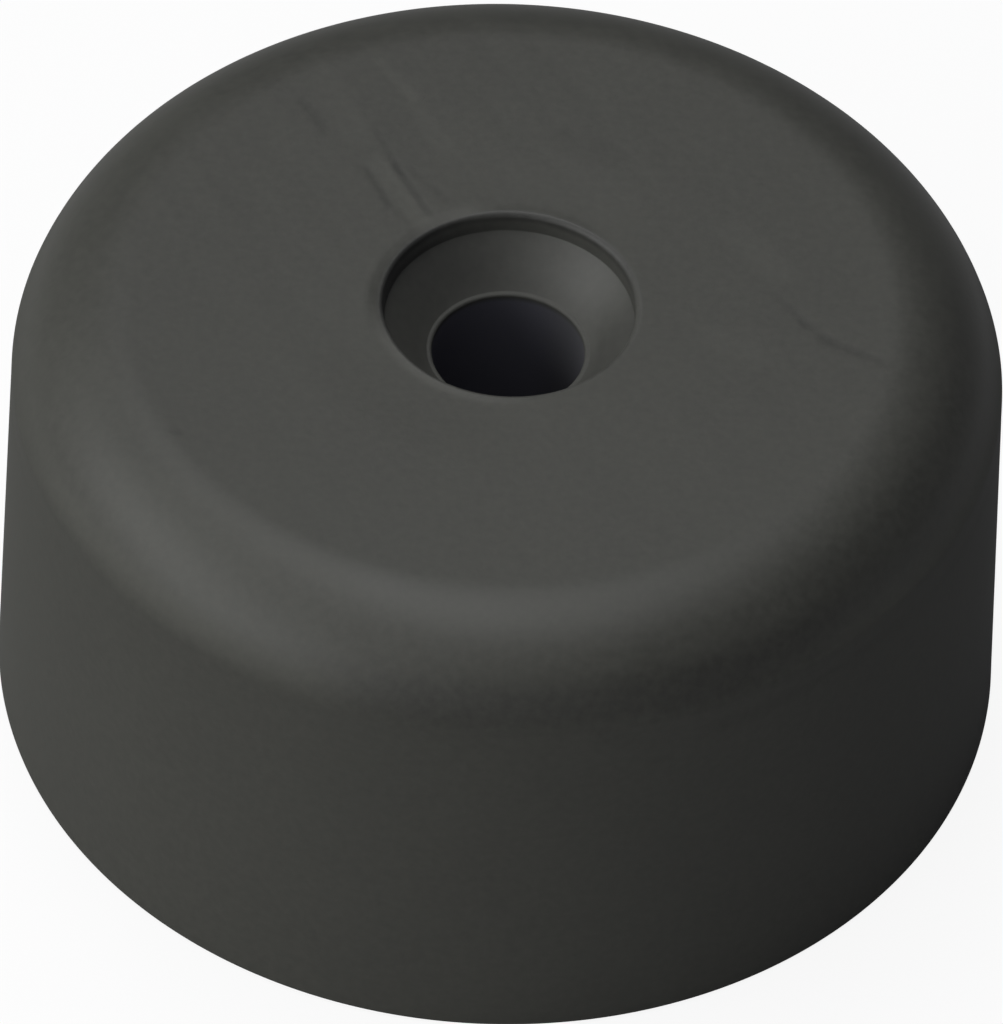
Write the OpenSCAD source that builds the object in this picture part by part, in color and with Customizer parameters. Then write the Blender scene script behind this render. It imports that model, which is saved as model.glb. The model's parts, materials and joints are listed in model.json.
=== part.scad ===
// Screw-on furniture glide: a squat round foot moulded in one piece of dark rubber.
// It stands on its mounting face, with the floor face and its countersunk screw recess upwards.
// The half section is drawn as a list of corners, each with its own rounding, and turned about Z.

/* [Body] */
// Diameter of the side wall at the level of the mounting face
base_d = 40; // [30:0.5:60]
// Height from the mounting face to the floor face
body_h = 20; // [12:0.5:30]
// Lean of the side wall in degrees, which lets the foot leave its mould
wall_draft = 2; // [0.5:0.25:4]
// Radius of the crown between the floor face and its own leaning foot
crown_r = 4.7; // [1:0.1:6]
// Lean of the crown's foot in degrees, where it comes down to the shoulder
crown_lean = 18; // [6:1:45]
// Length of the straight flank at the crown's foot
crown_flank = 0.1; // [0.1:0.1:2]
// Radius of the soft shoulder where that flank meets the side wall
shoulder_r = 1.5; // [0.5:0.1:4]
// Radius of the edge round the mounting face
base_edge_r = 0.3; // [0.1:0.05:1]

/* [Screw recess] */
// Diameter of the clearance bore for the screw's shank
bore_d = 6; // [4:0.1:7.2]
// Radius of the bore's edge at the mounting face
bore_exit_r = 0.3; // [0.1:0.05:0.5]
// Diameter of the straight wall round the screw's head
head_d = 9.8; // [9:0.1:12]
// Depth of that straight wall below the floor face
head_depth = 0.9; // [0.5:0.1:4]
// Radius of the lip where the floor face turns down into the recess
lip_r = 0.25; // [0.1:0.05:0.4]
// Full angle of the countersink in degrees
sink_angle = 90; // [80:1:120]
// Width of the flat land between the countersink and the bore
land_w = 0.2; // [0.15:0.05:0.6]
// Radius of the rim where that land turns down into the bore
rim_r = 0.12; // [0.05:0.01:0.14]

/* [Hidden] */
$fn = 128;
rubber_colour = [0.24, 0.24, 0.23];

base_r = base_d / 2;
bore_r = bore_d / 2;
head_r = head_d / 2;
land_r = bore_r + land_w;
// Length of the crown's slope from the shoulder to the level of the floor face, if it were straight
crown_reach = crown_r * tan((90 - crown_lean) / 2);
shoulder_reach = shoulder_r * tan((crown_lean - wall_draft) / 2);
crown_slope = crown_reach + crown_flank + shoulder_reach;
// Place of the shoulder on the side wall, and of the crown's corner above it
shoulder_z = body_h - crown_slope * cos(crown_lean);
wall_top_r = base_r - shoulder_z * tan(wall_draft);
crown_top_r = wall_top_r - crown_slope * sin(crown_lean);
// Level of the foot of the head's straight wall
sink_z = body_h - head_depth;
// Level of the land, where the countersink has closed in to the land's outer edge
land_z = sink_z - (head_r - land_r) / tan(sink_angle / 2);

// How far a rounding's circle reaches past the sides that it blends, so that it crosses them
// instead of only touching them
hair = 0.0002;

// Corners of the half section as [radius from the axis, height, rounding], going round the rubber
corners = [
    [bore_r, 0, bore_exit_r],
    [base_r, 0, base_edge_r],
    [wall_top_r, shoulder_z, shoulder_r],
    [crown_top_r, body_h, crown_r],
    [head_r, body_h, lip_r],
    [head_r, sink_z, 0],
    [land_r, land_z, 0],
    [bore_r, land_z, rim_r],
];

// Place of a corner, counting round the section in either direction
function place(i) =
    let (c = corners[(i + len(corners)) % len(corners)])
    [c.x, c.y];
// Unit vector from one place towards another
function toward(a, b) = (b - a) / norm(b - a);
// Half of the angle inside the rubber at a corner
function half_angle(i) =
    acos(toward(place(i), place(i - 1)) * toward(place(i), place(i + 1))) / 2;
// Point on the side towards a neighbour where a corner's rounding begins
function tangent_point(i, neighbour) =
    place(i) + toward(place(i), place(neighbour)) * corners[i].z / tan(half_angle(i));
// Centre of a corner's rounding, on the line that halves the corner
function arc_centre(i) =
    let (mid = (tangent_point(i, i - 1) + tangent_point(i, i + 1)) / 2)
    place(i) + toward(place(i), mid) * corners[i].z / sin(half_angle(i));

// What comes off a sharp corner to leave its rounding
module corner_waste(i) {
    centre = arc_centre(i);
    beyond = 2 * place(i) - centre;
    difference() {
        polygon([tangent_point(i, i - 1), centre, tangent_point(i, i + 1), beyond]);
        translate(centre) circle(r = corners[i].z + hair);
    }
}

// Half section of the rubber, to the right of the axis
module half_section() {
    difference() {
        polygon([for (i = [0 : len(corners) - 1]) place(i)]);
        for (i = [0 : len(corners) - 1]) {
            if (corners[i].z > 0) corner_waste(i);
        }
    }
}

// The whole foot, with its recess and bore, turned in one piece
module glide() {
    color(rubber_colour) rotate_extrude() half_section();
}

glide();
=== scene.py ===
"""Finish and setting of a screw-on furniture glide: a squat round foot moulded in dark rubber.

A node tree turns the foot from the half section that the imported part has, with a finer mesh and
the small unevenness of its moulded skin. It stands on a pale floor under soft studio light.
"""

import json
import math

import bpy
from mathutils import Matrix, Vector


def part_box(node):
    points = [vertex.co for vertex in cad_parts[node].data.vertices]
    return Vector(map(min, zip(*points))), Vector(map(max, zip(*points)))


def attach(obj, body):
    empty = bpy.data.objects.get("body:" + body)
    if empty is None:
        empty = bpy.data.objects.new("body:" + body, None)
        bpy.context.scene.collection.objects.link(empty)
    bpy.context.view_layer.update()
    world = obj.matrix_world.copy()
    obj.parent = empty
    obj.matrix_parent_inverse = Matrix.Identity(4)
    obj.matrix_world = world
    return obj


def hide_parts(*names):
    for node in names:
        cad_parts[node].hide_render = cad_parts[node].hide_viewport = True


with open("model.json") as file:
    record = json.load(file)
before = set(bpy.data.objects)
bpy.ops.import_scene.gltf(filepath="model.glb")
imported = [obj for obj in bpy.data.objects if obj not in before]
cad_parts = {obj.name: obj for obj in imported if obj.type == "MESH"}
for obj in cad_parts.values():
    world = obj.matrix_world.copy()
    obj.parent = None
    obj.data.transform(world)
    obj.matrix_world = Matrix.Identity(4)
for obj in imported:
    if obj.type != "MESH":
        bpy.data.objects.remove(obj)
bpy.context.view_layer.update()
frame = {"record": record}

MM = 0.001


class Wire:
    """One output socket of a node tree. An expression on it adds Math nodes to that tree."""

    def __init__(self, graph, socket):
        self.graph = graph
        self.socket = socket

    def __add__(self, other):
        return self.graph.math("ADD", self, other)

    def __sub__(self, other):
        return self.graph.math("SUBTRACT", self, other)

    def __rsub__(self, other):
        return self.graph.math("SUBTRACT", other, self)

    def __mul__(self, other):
        return self.graph.math("MULTIPLY", self, other)

    def __truediv__(self, other):
        return self.graph.math("DIVIDE", self, other)

    def __rtruediv__(self, other):
        return self.graph.math("DIVIDE", other, self)

    def __pow__(self, other):
        return self.graph.math("POWER", self, other)

    __radd__ = __add__
    __rmul__ = __mul__

    def other(self, name):
        """Another output of the same node."""
        return Wire(self.graph, self.socket.node.outputs[name])


class Graph:
    """A node tree that is written as calls and expressions."""

    def __init__(self, tree):
        self.tree = tree

    def node(self, kind, settings=None, sockets=None, output=0):
        """Adds a node, makes its settings, then fills its sockets with values or links."""
        node = self.tree.nodes.new(kind)
        for name, value in (settings or {}).items():
            if name == "choices":
                while len(node.index_switch_items) < value:
                    node.index_switch_items.new()
            else:
                setattr(node, name, value)
        for key, value in (sockets or {}).items():
            if isinstance(value, Wire):
                self.tree.links.new(value.socket, node.inputs[key])
            else:
                node.inputs[key].default_value = value
        return Wire(self, node.outputs[output]) if node.outputs else node

    def math(self, operation, *values):
        return self.node("ShaderNodeMath", {"operation": operation}, dict(enumerate(values)))

    def smooth(self, value, start, end):
        """0 before start and 1 after end, with a smooth rise between them."""
        sockets = {"Value": value, "From Min": start, "From Max": end}
        return self.node("ShaderNodeMapRange", {"interpolation_type": "SMOOTHSTEP"}, sockets)

    def scaled(self, vector, factor):
        sockets = {0: vector, "Scale": factor}
        return self.node("ShaderNodeVectorMath", {"operation": "SCALE"}, sockets)

    def mixed(self, share, first, second):
        """A colour that goes from the first to the second as share goes from 0 to 1."""
        sockets = {0: share, 6: first, 7: second}
        return self.node("ShaderNodeMix", {"data_type": "RGBA"}, sockets, 2)

    def noise(self, where, grain, detail=2.0):
        """Soft noise from -1 to 1 that changes over about the length of one grain."""
        sockets = {"Vector": where, "Scale": 1 / grain, "Detail": detail}
        return self.node("ShaderNodeTexNoise", None, sockets) * 2.0 - 1.0

    def parts(self, vector):
        """The three numbers of a vector."""
        x = self.node("ShaderNodeSeparateXYZ", None, {"Vector": vector})
        return x, x.other("Y"), x.other("Z")


def grey(level):
    """A colour with the same level of red, green and blue."""
    return level, level, level, 1.0


# Sizes of the foot, in metres: from the frame where it has them
foot_low, foot_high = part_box("glide")
mounts = {mount["name"]: mount["dims"] for mount in frame["record"]["mounts"]}
wall_draft = math.radians(2)
base_edge_r = 0.3 * MM
# The wall's line meets the floor a little outside the widest point of the rounded edge
edge_reach = base_edge_r * (1 / math.tan((math.pi / 2 - wall_draft) / 2) - 1)
foot_sizes = {
    "Base radius": (foot_high.x - foot_low.x) / 2 + edge_reach,
    "Height": foot_high.z - foot_low.z,
    "Wall draft": wall_draft,
    "Base edge radius": base_edge_r,
    "Crown radius": 4.7 * MM,
    "Crown lean": math.radians(18),
    "Crown flank": 0.1 * MM,
    "Shoulder radius": 1.5 * MM,
    "Bore radius": mounts["screw_bore"]["r_mm"] * MM,
    "Bore exit radius": 0.3 * MM,
    "Head radius": mounts["screw_head_recess"]["r_mm"] * MM,
    "Head depth": 0.9 * MM,
    "Lip radius": 0.25 * MM,
    "Countersink half angle": math.radians(45),
    "Land width": 0.2 * MM,
    "Rim radius": 0.12 * MM,
    "Crease radius": 0.08 * MM,
    "Mesh step": 0.4 * MM,
    "Face mesh step": 0.16 * MM,
    "Hidden mesh step": 1.5 * MM,
    "Skin unevenness": 0.006 * MM,
    "Lip moat depth": 0.045 * MM,
    "Lip wear": 0.09 * MM,
    "Crown foot hollow": 0.06 * MM,
    "Witness line depth": 0.022 * MM,
}
# Steps round the axis
turns = 440

# What follows is in millimetres from the origin: levels and radii on the section, then marks
top_level = foot_sizes["Height"] / MM
wall_radius = foot_sizes["Base radius"] / MM
bore_radius = foot_sizes["Bore radius"] / MM
lip_radius = (foot_sizes["Head radius"] + foot_sizes["Lip radius"]) / MM
bore_top_level = 17.3
shoulder_level = 16.45
hollow_level = 17.0
witness_level = 15.4
witness_half_width = 0.4
moat_end = 9.0

# Lines that the rubber's flow pressed into the floor face, as read off the photograph: start, end,
# half width, depth, and how much lighter or darker the rubber is along it
flow_lines = [
    ((-6.0, 7.9), (-3.2, 3.5), 0.60, 0.010, 0.17),
    ((-5.9, 9.8), (-4.3, 6.6), 0.20, 0.004, -0.13),
    ((-5.0, 7.8), (-3.1, 4.3), 0.22, 0.006, -0.27),
    ((-6.0, 7.5), (-4.8, 4.8), 0.22, 0.005, -0.18),
    ((-4.6, 7.7), (-2.3, 5.2), 0.25, 0.004, -0.10),
    ((-6.0, 13.5), (-3.9, 10.8), 0.30, 0.004, 0.14),
    ((-4.9, 12.2), (-2.6, 7.6), 0.60, 0.004, 0.07),
    ((-8.6, 13.6), (-5.9, 8.0), 0.90, 0.003, 0.07),
    ((-8.8, 11.0), (-7.4, 8.9), 0.26, 0.005, -0.16),
    ((10.1, 1.4), (11.8, -0.8), 0.25, 0.003, -0.10),
    ((11.1, -0.1), (12.8, -1.5), 0.25, 0.004, -0.13),
    ((11.8, -1.0), (14.9, -2.5), 0.28, 0.006, -0.20),
    ((8.0, 5.1), (11.0, 1.5), 0.90, 0.003, 0.09),
    ((7.4, -1.0), (10.1, -3.0), 0.80, 0.003, 0.08),
    ((1.2, 9.8), (4.4, 8.0), 0.90, 0.003, -0.07),
    ((-12.9, -7.7), (-12.3, -7.8), 0.20, 0.004, -0.25),
]
# Scuffs below the shoulder, with the way round the wall in place of the first number
scuffs = [
    ((-27.5, 16.2), (-25.6, 15.5), 0.30, 0.006, -0.10),
    ((-26.0, 14.6), (-24.2, 14.2), 0.25, 0.004, -0.08),
    ((-23.5, 15.2), (-12.0, 15.5), 0.35, 0.004, -0.10),
]


def along_line(graph, x, y, start, end, half_width):
    """1 in the middle of a line, falling softly to 0 at its half width and at its two ends."""
    run = Vector(end) - Vector(start)
    past_x = x - start[0]
    past_y = y - start[1]
    share = (past_x * run.x + past_y * run.y) / run.length_squared
    share = graph.node("ShaderNodeClamp", None, {0: share})
    off_x = past_x - share * run.x
    off_y = past_y - share * run.y
    across = graph.smooth(off_x * off_x + off_y * off_y, half_width ** 2, 0.0)
    return across * graph.smooth(share * (1.0 - share), 0.0, 0.15)


class Skin:
    """Where a point lies on the foot, and which of the mould's marks it carries."""

    def __init__(self, graph, position):
        self.graph = graph
        self.where = graph.scaled(position, 1 / MM)
        self.x, self.y, self.z = graph.parts(self.where)
        self.radius = (self.x * self.x + self.y * self.y) ** 0.5
        self.on_wall = graph.smooth(self.z, shoulder_level + 1.8, shoulder_level)
        within_bore = graph.smooth(self.radius, bore_radius + 0.15, bore_radius)
        self.in_bore = within_bore * graph.smooth(self.z, bore_top_level, bore_top_level - 0.3)
        self.outside = graph.smooth(self.radius, lip_radius - 0.1, lip_radius + 0.1)

    def marks(self):
        """The depth, in millimetres, and the shade of the marks that the flow and handling left."""
        graph = self.graph
        waver = graph.noise(self.where, 1.6, 1.0) * 0.14
        face_x = self.x + waver
        face_y = self.y - waver
        way_round = graph.math("ARCTAN2", self.y, self.x) * wall_radius
        wall_z = self.z + waver
        on_face = graph.smooth(self.z, top_level - 0.4, top_level - 0.1) * self.outside
        depth = 0.0
        shade = 0.0
        for start, end, half_width, line_depth, line_shade in flow_lines:
            line = along_line(graph, face_x, face_y, start, end, half_width) * on_face
            depth = depth + line * line_depth
            shade = shade + line * line_shade
        for start, end, half_width, line_depth, line_shade in scuffs:
            line = along_line(graph, way_round, wall_z, start, end, half_width)
            depth = depth + line * line_depth
            shade = shade + line * line_shade
        return depth, shade

    def toward(self, azimuth, start, full):
        """1 on the side that faces an azimuth, with the cosines where that starts and is full."""
        a = math.radians(azimuth)
        cosine = (self.x * math.cos(a) + self.y * math.sin(a)) / self.radius
        return self.graph.smooth(cosine, start, full)

    def between(self, start, full, fade, end):
        """1 between two levels, with a smooth rise from start to full and fall from fade to end."""
        return self.graph.smooth(self.z, start, full) * self.graph.smooth(self.z, end, fade)


def skin_relief(graph, size):
    """How far the skin lies below the true section, in metres, and the shade of its marks."""
    skin = Skin(graph, graph.node("GeometryNodeInputPosition"))
    wavy = graph.noise(skin.where, 5.0, 1.0) * 0.5 + 0.5
    depth = size["Skin unevenness"] * wavy * graph.smooth(skin.z, 0.3, 1.5) * skin.outside
    mark_depth, shade = skin.marks()
    depth = depth + mark_depth * MM
    # The floor face falls away a little outside the lip at its front left and back, and the lip
    # itself is worn softer at its left
    moat = graph.smooth(skin.radius, lip_radius - 0.15, lip_radius + 0.3)
    moat = moat * graph.smooth(skin.radius, moat_end, lip_radius + 0.45)
    moat = moat * (skin.toward(-128, 0.55, 0.95) + skin.toward(78, 0.8, 0.97) * 0.6)
    worn = graph.smooth(skin.radius, lip_radius + 0.5, lip_radius - 0.05)
    worn = worn * skin.toward(150, 0.6, 0.93)
    near_top = graph.smooth(skin.z, top_level - 0.6, top_level - 0.2)
    depth = depth + (size["Lip moat depth"] * moat + size["Lip wear"] * worn) * near_top
    # At the front right the crown's foot is drawn in, so that the shoulder stands out as a ledge
    hollow = skin.between(shoulder_level - 0.05, hollow_level, hollow_level, hollow_level + 1.3)
    hollow = hollow * skin.outside * skin.toward(-45, 0.5, 0.9)
    depth = depth + size["Crown foot hollow"] * hollow
    # The mould's halves leave a faint line a little below the shoulder
    line_off = skin.z - witness_level
    witness = graph.smooth(line_off * line_off, witness_half_width ** 2, 0.0) * skin.outside
    patchy = graph.smooth(graph.noise(skin.where, 9.0, 1.0), -0.5, 0.3)
    return depth + size["Witness line depth"] * witness * patchy, shade


def foot_tree(rubber):
    """A tree that rounds the corners of the half section and turns it about the bore's axis."""
    tree = bpy.data.node_groups.new("turned foot", "GeometryNodeTree")
    graph = Graph(tree)
    for name in foot_sizes:
        tree.interface.new_socket(name, in_out="INPUT", socket_type="NodeSocketFloat")
    tree.interface.new_socket("Foot", in_out="OUTPUT", socket_type="NodeSocketGeometry")
    given = graph.node("NodeGroupInput")
    size = {name: given.other(name) for name in foot_sizes}

    bore_r = size["Bore radius"]
    head_r = size["Head radius"]
    height = size["Height"]
    land_r = bore_r + size["Land width"]
    lean = size["Crown lean"]
    # Length of the crown's slope, from the shoulder to the level of the floor face
    crown_reach = size["Crown radius"] * graph.math("TANGENT", math.pi / 4 - lean / 2)
    shoulder_half_turn = (lean - size["Wall draft"]) / 2
    shoulder_reach = size["Shoulder radius"] * graph.math("TANGENT", shoulder_half_turn)
    crown_slope = crown_reach + size["Crown flank"] + shoulder_reach
    shoulder_z = height - crown_slope * graph.math("COSINE", lean)
    wall_top_r = size["Base radius"] - shoulder_z * graph.math("TANGENT", size["Wall draft"])
    crown_top_r = wall_top_r - crown_slope * graph.math("SINE", lean)
    sink_z = height - size["Head depth"]
    sink_slope = graph.math("TANGENT", size["Countersink half angle"])
    land_z = sink_z - (head_r - land_r) / sink_slope
    # Corners as radius, height, rounding and the number of steps in that rounding
    corners = [
        (bore_r, 0.0, size["Bore exit radius"], 6),
        (size["Base radius"], 0.0, size["Base edge radius"], 8),
        (wall_top_r, shoulder_z, size["Shoulder radius"], 8),
        (crown_top_r, height, size["Crown radius"], 26),
        (head_r, height, size["Lip radius"], 10),
        (head_r, sink_z, size["Crease radius"], 4),
        (land_r, land_z, size["Crease radius"], 4),
        (bore_r, land_z, size["Rim radius"], 8),
    ]
    index = graph.node("GeometryNodeInputIndex")

    def by_corner(kind, values):
        settings = {"data_type": kind, "choices": len(values)}
        sockets = {"Index": index, **{str(i): value for i, value in enumerate(values)}}
        return graph.node("GeometryNodeIndexSwitch", settings, sockets)

    # The section is drawn outwards from the bore's wall, and downwards, as the turning takes it
    places = [
        graph.node("ShaderNodeCombineXYZ", None, {"X": r - bore_r, "Y": 0.0 - z if z else 0.0})
        for r, z, _, _ in corners
    ]
    points = graph.node(
        "GeometryNodePoints", None, {"Count": len(corners), "Position": by_corner("VECTOR", places)}
    )
    outline = graph.node("GeometryNodePointsToCurves", None, {"Points": points})
    outline = graph.node("GeometryNodeSetSplineCyclic", None, {0: outline, "Cyclic": True})
    outline = graph.node(
        "GeometryNodeFilletCurve",
        {"mode": "POLY"},
        {
            "Curve": outline,
            "Radius": by_corner("FLOAT", [corner[2] for corner in corners]),
            "Count": by_corner("INT", [corner[3] for corner in corners]),
        },
    )
    # Straight runs are cut into steps, which the marks in the skin need: short ones on the floor
    # face, and long ones where no mark shows
    position = graph.node("GeometryNodeInputPosition")
    following = graph.node("GeometryNodeOffsetPointInCurve", None, {"Offset": 1}, "Point Index")
    neighbour = graph.node(
        "GeometryNodeFieldAtIndex",
        {"data_type": "FLOAT_VECTOR"},
        {"Index": following, "Value": position},
    )
    run = graph.node(
        "ShaderNodeVectorMath", {"operation": "DISTANCE"}, {0: position, 1: neighbour}, "Value"
    )
    out, down, _ = graph.parts(neighbour)
    hair = 0.01 * MM
    in_bore = graph.math("LESS_THAN", out, hair)
    underneath = graph.math("GREATER_THAN", down, -hair)
    hidden = graph.math("MAXIMUM", in_bore, underneath)
    level_run = graph.math("COMPARE", down, graph.parts(position)[1], hair)
    on_face = level_run * graph.math("LESS_THAN", down, hair - height)
    step = size["Mesh step"] + (size["Hidden mesh step"] - size["Mesh step"]) * hidden
    step = step + (size["Face mesh step"] - size["Mesh step"]) * on_face
    outline = graph.node("GeometryNodeSubdivideCurve", None, {"Curve": outline, "Cuts": run / step})

    rail = graph.node(
        "GeometryNodeCurvePrimitiveCircle", None, {"Resolution": turns, "Radius": bore_r}
    )
    rail = graph.node("GeometryNodeSetCurveNormal", {"mode": "Z_UP"}, {"Curve": rail})
    foot = graph.node("GeometryNodeCurveToMesh", None, {"Curve": rail, "Profile Curve": outline})
    foot = graph.node("GeometryNodeFlipFaces", None, {"Mesh": foot})
    depth, shade = skin_relief(graph, size)
    foot = graph.node(
        "GeometryNodeStoreNamedAttribute",
        {"data_type": "FLOAT", "domain": "POINT"},
        {"Geometry": foot, "Name": "mark shade", "Value": shade},
    )
    inwards = graph.scaled(graph.node("GeometryNodeInputNormal"), 0.0 - depth)
    foot = graph.node("GeometryNodeSetPosition", None, {"Geometry": foot, "Offset": inwards})
    foot = graph.node("GeometryNodeSetShadeSmooth", None, {0: foot, "Shade Smooth": True})
    foot = graph.node("GeometryNodeRealizeInstances", None, {"Geometry": foot})
    foot = graph.node("GeometryNodeSetMaterial", None, {"Geometry": foot, "Material": rubber})
    graph.node("NodeGroupOutput", None, {"Foot": foot})
    return tree


def turn_foot(rubber):
    """The foot as a plain mesh."""
    draft = bpy.data.objects.new("foot_draft", bpy.data.meshes.new("foot_draft"))
    bpy.context.scene.collection.objects.link(draft)
    modifier = draft.modifiers.new("turned foot", "NODES")
    modifier.node_group = foot_tree(rubber)
    for item in modifier.node_group.interface.items_tree:
        if item.in_out == "INPUT":
            modifier[item.identifier] = foot_sizes[item.name]
    graph = bpy.context.evaluated_depsgraph_get()
    mesh = bpy.data.meshes.new_from_object(draft.evaluated_get(graph))
    bpy.data.objects.remove(draft)
    mesh.name = "moulded_foot"
    foot = bpy.data.objects.new("moulded_foot", mesh)
    bpy.context.scene.collection.objects.link(foot)
    return foot


def rubber_material():
    """Dark grey rubber: a matte moulded skin with clouding, fine grain, the flow's marks, and
    painted light and shade.
    """
    material = bpy.data.materials.new("dark rubber")
    material.use_nodes = True
    graph = Graph(material.node_tree)
    graph.tree.nodes.clear()
    skin = Skin(graph, graph.node("ShaderNodeTexCoord", None, None, "Object"))

    clouds = graph.noise(skin.where, 6.0, 3.0)
    grain = graph.noise(skin.where, 0.35, 3.0)
    # On the floor face the flow shows as faint streaks, longer than they are wide
    flow_x, flow_y = 0.5, -0.86
    streak_squeeze = 0.14
    streak_place = {
        "X": (skin.x * flow_x + skin.y * flow_y) * streak_squeeze,
        "Y": skin.x * flow_y - skin.y * flow_x,
    }
    streaks = graph.noise(graph.node("ShaderNodeCombineXYZ", None, streak_place), 1.0, 2.0)
    streaks = streaks * graph.smooth(skin.z, top_level - 0.8, top_level)
    streaks = streaks * (0.4 + 0.6 * skin.toward(110, 0.0, 0.9))
    # Painted shade darkens the front of the crown's foot, which has more grain than the rest, and
    # the crown's right. Painted highlight makes a paler ledge below that right side and a paler
    # foot at the left
    painted_shade_front_foot = skin.between(16.1, 16.9, 17.6, 18.7) * skin.toward(-76, 0.78, 0.96)
    painted_shade_crown_right = skin.between(17.2, 17.8, 19.0, 19.7) * skin.toward(-20, 0.75, 0.95)
    painted_highlight_ledge = skin.between(16.1, 16.7, 16.9, 17.4) * skin.toward(-28, 0.8, 0.95)
    painted_light_left_foot = skin.between(16.5, 17.1, 17.4, 18.1) * skin.toward(-134, 0.85, 0.97)
    # Painted light makes the screw recess a little paler than the outside, and painted shade
    # darkens its lip at the back and left
    recess = 1.0 - skin.outside
    on_lip = graph.smooth(skin.z, top_level - 0.5, top_level - 0.25)
    painted_shade_back_lip = graph.smooth(skin.radius, lip_radius + 0.05, lip_radius - 0.1)
    painted_shade_back_lip = painted_shade_back_lip * skin.toward(85, 0.1, 0.6) * on_lip
    painted_shade_left_lip = graph.smooth(skin.radius, lip_radius + 0.25, lip_radius - 0.1)
    painted_shade_left_lip = painted_shade_left_lip * skin.toward(165, 0.6, 0.95) * on_lip
    # How much each of these lightens or darkens the rubber, as a share of its middle colour: the
    # crown's, the recess's and the lip's entries are painted light and shade
    shades = (
        (clouds, 0.10),
        (grain, 0.22 + painted_shade_front_foot * 0.05),
        (streaks, 0.12),
        (recess, 0.13),
        (painted_light_left_foot, 0.17),
        (painted_highlight_ledge, 0.10),
        (painted_shade_front_foot, -0.30),
        (painted_shade_crown_right, -0.16),
        (painted_shade_back_lip, -0.40),
        (painted_shade_left_lip, -0.30),
    )
    tone = graph.node("ShaderNodeAttribute", {"attribute_name": "mark shade"}, None, "Fac")
    for place, shade in shades:
        tone = tone + place * shade
    # The two colours lie this share below and above the rubber's middle colour
    spread = 0.4
    middle = Vector((0.0492, 0.0500, 0.0422))
    dark = (*(middle * (1 - spread)), 1.0)
    light = (*(middle * (1 + spread)), 1.0)
    colour = graph.mixed(0.5 + tone / (2 * spread), dark, light)
    # Painted light makes the bore paler and cooler, less so at its right, and makes the recess a
    # trace paler
    painted_fill_colour = (0.092, 0.092, 0.114, 1.0)
    painted_bore_light = skin.in_bore * (0.84 - 0.35 * skin.toward(15, 0.5, 0.95)) + recess * 0.06
    colour = graph.mixed(painted_bore_light, colour, painted_fill_colour)
    roughness = 0.5 + skin.on_wall * 0.3 + clouds * 0.05 + grain * 0.05

    fine = graph.noise(skin.where, 0.22, 4.0)
    bump = graph.node(
        "ShaderNodeBump", None, {"Strength": 0.1, "Distance": 0.02 * MM, "Height": fine}
    )
    shader = graph.node(
        "ShaderNodeBsdfPrincipled",
        None,
        {"Base Color": colour, "Roughness": roughness, "Normal": bump, "Specular IOR Level": 0.4},
    )
    graph.node("ShaderNodeOutputMaterial", None, {"Surface": shader})
    return material


def floor_material():
    """Paper that gives back part of the light, and that the lens sees as nearly white."""
    material = bpy.data.materials.new("pale floor")
    material.use_nodes = True
    graph = Graph(material.node_tree)
    graph.tree.nodes.clear()
    path = graph.node("ShaderNodeLightPath", None, None, "Is Camera Ray")
    mirrored = path.other("Is Glossy Ray") + path.other("Is Transmission Ray")
    paper = graph.node("ShaderNodeBsdfDiffuse", None, {"Color": grey(0.44)})
    shaded = graph.node("ShaderNodeBsdfDiffuse", None, {"Color": grey(0.9)})
    white = graph.node("ShaderNodeEmission", None, {"Color": grey(1.0), "Strength": 1.0})
    white_share = 0.9
    seen = graph.node("ShaderNodeMixShader", None, {0: white_share, 1: shaded, 2: white})
    as_seen = path + mirrored * 0.02
    surface = graph.node("ShaderNodeMixShader", None, {0: as_seen, 1: paper, 2: seen})
    graph.node("ShaderNodeOutputMaterial", None, {"Surface": surface})
    return material


def make_floor():
    """A wide pale floor, a hair below the foot so that the two faces never mix."""
    corner = 1.5
    level = -0.02 * MM
    mesh = bpy.data.meshes.new("floor")
    places = [(x * corner, y * corner, level) for x, y in ((-1, -1), (1, -1), (1, 1), (-1, 1))]
    mesh.from_pydata(places, [], [(0, 1, 2, 3)])
    mesh.materials.append(floor_material())
    floor = bpy.data.objects.new("floor", mesh)
    bpy.context.scene.collection.objects.link(floor)


def make_light(name, azimuth, elevation, width, height, power):
    """A soft box one metre away that faces the foot."""
    light = bpy.data.lights.new(name, "AREA")
    light.shape = "RECTANGLE"
    light.size = width
    light.size_y = height
    light.energy = power
    lamp = bpy.data.objects.new(name, light)
    bpy.context.scene.collection.objects.link(lamp)
    a = math.radians(azimuth)
    e = math.radians(elevation)
    toward = Vector((math.cos(a) * math.cos(e), math.sin(a) * math.cos(e), math.sin(e)))
    lamp.location = toward
    lamp.rotation_mode = "QUATERNION"
    lamp.rotation_quaternion = toward.to_track_quat("Z", "Y")


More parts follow.
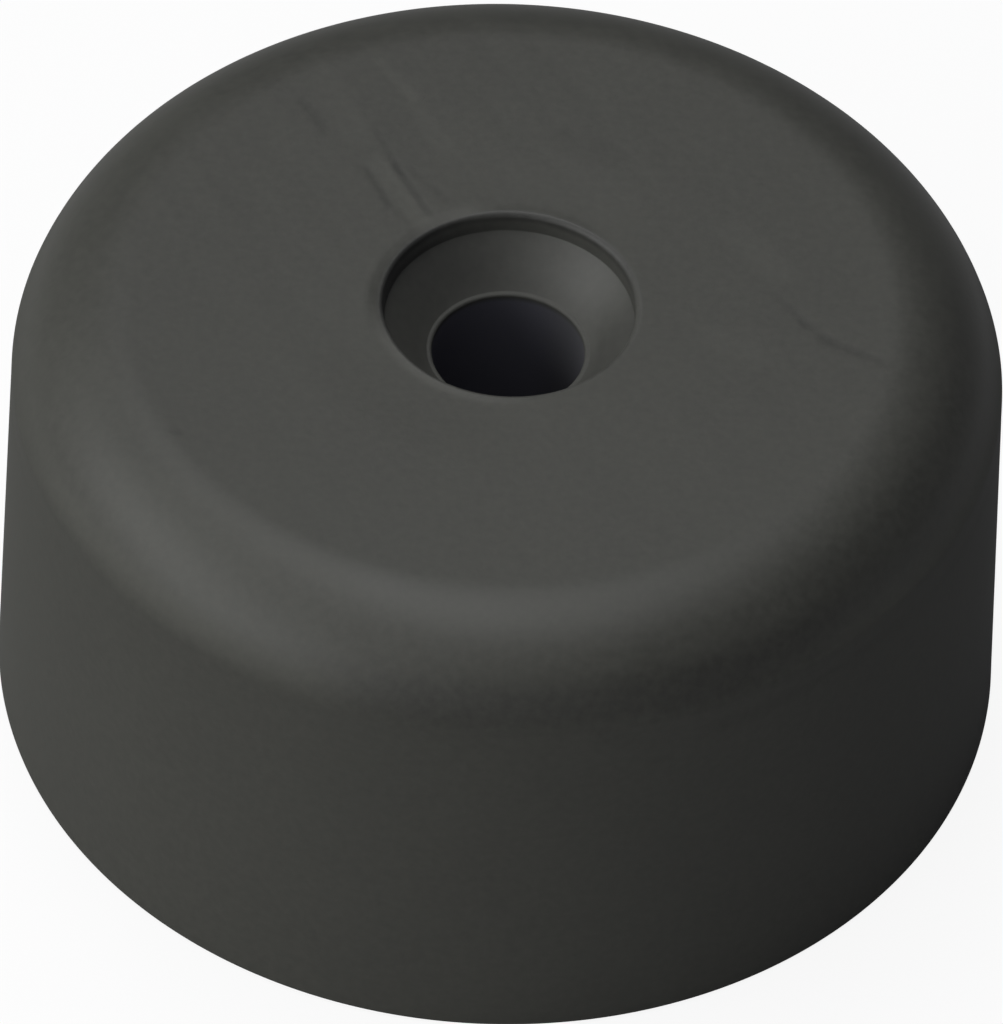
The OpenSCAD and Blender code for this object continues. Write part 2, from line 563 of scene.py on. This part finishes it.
def make_world():
    """A dim, cool room that the lens sees as white."""
    world = bpy.data.worlds.new("studio")
    world.use_nodes = True
    graph = Graph(world.node_tree)
    graph.tree.nodes.clear()
    path = graph.node("ShaderNodeLightPath", None, None, "Is Camera Ray")
    cool = (0.55, 0.55, 1.0, 1.0)
    room = graph.node("ShaderNodeBackground", None, {"Color": cool, "Strength": 0.045})
    white = graph.node("ShaderNodeBackground", None, {"Color": grey(1.0), "Strength": 0.94})
    surface = graph.node("ShaderNodeMixShader", None, {0: path, 1: room, 2: white})
    graph.node("ShaderNodeOutputWorld", None, {"Surface": surface})
    bpy.context.scene.world = world


def make_camera():
    """A long lens that looks down on the foot at the photograph's angle."""
    elevation = math.radians(46.706)
    roll = math.radians(2.478)
    # Where the camera stands, from the foot's origin along its own right, up and back directions
    stand = Vector((0.253, 5.569, 437.0)) * MM
    focal_px = 10842
    frame_px = 1024
    data = bpy.data.cameras.new("camera")
    data.sensor_width = 36
    data.lens = focal_px / frame_px * data.sensor_width
    camera = bpy.data.objects.new("camera", data)
    bpy.context.scene.collection.objects.link(camera)
    down = Matrix.Rotation(math.pi / 2 - elevation, 4, "X")
    camera.matrix_world = down @ Matrix.Rotation(roll, 4, "Z") @ Matrix.Translation(stand)
    bpy.context.scene.camera = camera


foot = turn_foot(rubber_material())
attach(foot, "root")
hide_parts("glide")

# Setting: floor, light and camera
make_floor()
make_light("left low box", -142, 12, 0.65, 0.32, 2.10)
make_light("left middle box", -147, 28, 0.6, 0.4, 1.46)
make_light("left high box", 180, 35, 0.5, 0.5, 2.77)
make_light("left side box", -175, 15, 0.4, 0.3, 0.42)
make_light("front left box", -119, 48, 0.6, 0.5, 0.74)
make_light("front low box", -100, 6, 0.6, 0.2, 0.65)
make_light("front top box", -100, 72, 0.4, 0.4, 0.30)
make_light("top box", 104, 78, 0.4, 1.0, 5.22)
make_light("back left box", 150, 46, 0.4, 0.4, 0.65)
make_world()
make_camera()
bpy.context.scene.view_settings.view_transform = "Standard"
